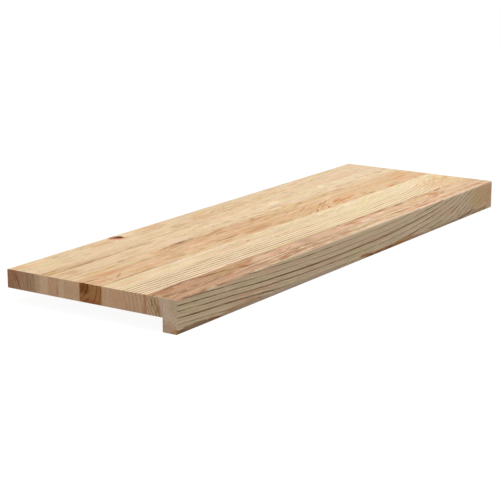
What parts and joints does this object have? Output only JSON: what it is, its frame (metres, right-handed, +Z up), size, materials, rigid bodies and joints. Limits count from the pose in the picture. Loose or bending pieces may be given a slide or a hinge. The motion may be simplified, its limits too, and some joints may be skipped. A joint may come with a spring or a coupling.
{
  "type": "stair tread",
  "caption": "Solid wood stair tread: a long flat board of edge-glued staves, with a deeper nosing strip along its front edge that hangs over the riser.",
  "frame": {"origin": "middle of the bounding box's bottom, level with the foot of the nosing", "axes": "+X along the tread, +Y from the nosing to the back edge, +Z up out of the walking face"},
  "size_m": [0.8, 0.25, 0.04],
  "materials": {
    "nosing": "sanded oak, tan, with wavy growth lines on its face",
    "stave_1": "sanded oak, cream, with one pin knot",
    "stave_2": "sanded oak, cream",
    "stave_3": "sanded oak, plain tan",
    "stave_4": "sanded oak, orange tan, with cathedral figure",
    "stave_5": "sanded oak, pale, with fine lines along its front half",
    "stave_6": "sanded oak, pinkish brown"
  },
  "bodies": {
    "root": {"nosing": "nosing", "stave_1": "stave_1", "stave_2": "stave_2", "stave_3": "stave_3", "stave_4": "stave_4", "stave_5": "stave_5", "stave_6": "stave_6"}
  },
  "joints": []
}
